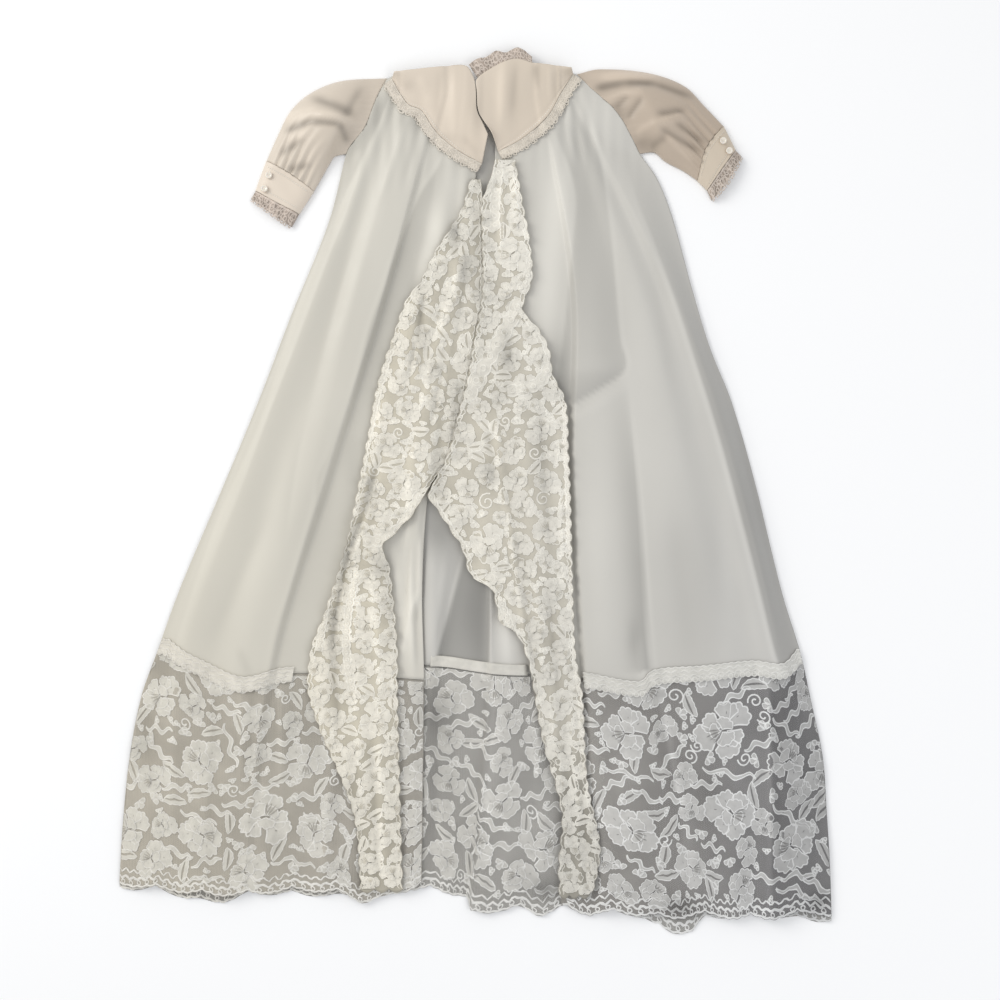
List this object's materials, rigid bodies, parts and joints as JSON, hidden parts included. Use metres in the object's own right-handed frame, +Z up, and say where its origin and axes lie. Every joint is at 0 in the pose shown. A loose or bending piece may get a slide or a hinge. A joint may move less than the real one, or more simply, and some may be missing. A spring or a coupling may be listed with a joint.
{
  "type": "christening gown",
  "caption": "Long infant gown laid flat, open down the front, with a lace hem, lace front ruffles, a collar and short full sleeves in buttoned cuffs.",
  "frame": {"origin": "centre of the gown's outline, on the surface that it lies on", "axes": "+Y from the hem to the neck, +X to the viewer's right looking down at the front, +Z up from the surface"},
  "size_m": [0.7148, 0.8845, 0.0219],
  "materials": {
    "satin": "cream-white satin, soft sheen",
    "satin_inside": "inside of the satin, duller",
    "net_lace": "floral net lace, matt",
    "trim_lace": "narrow cotton lace and braid, matt",
    "button": "small pearl buttons"
  },
  "bodies": {
    "root": {"back_panel": "satin_inside", "front_left": "satin", "front_right": "satin", "sleeve_left": "satin", "sleeve_right": "satin", "cuff_left": "satin", "cuff_right": "satin", "collar_left": "satin", "collar_right": "satin", "hem_lace_back": "net_lace", "hem_lace_left": "net_lace", "hem_lace_right": "net_lace", "ruffle_left": "net_lace", "ruffle_right": "net_lace", "hem_heading_left": "trim_lace", "hem_heading_right": "trim_lace", "hem_tape_back": "trim_lace", "cuff_lace_left": "trim_lace", "cuff_lace_right": "trim_lace", "collar_lace_left": "trim_lace", "collar_lace_right": "trim_lace", "neck_lace": "trim_lace", "button_left_1": "button", "button_left_2": "button", "button_right_1": "button", "button_right_2": "button"}
  },
  "joints": []
}
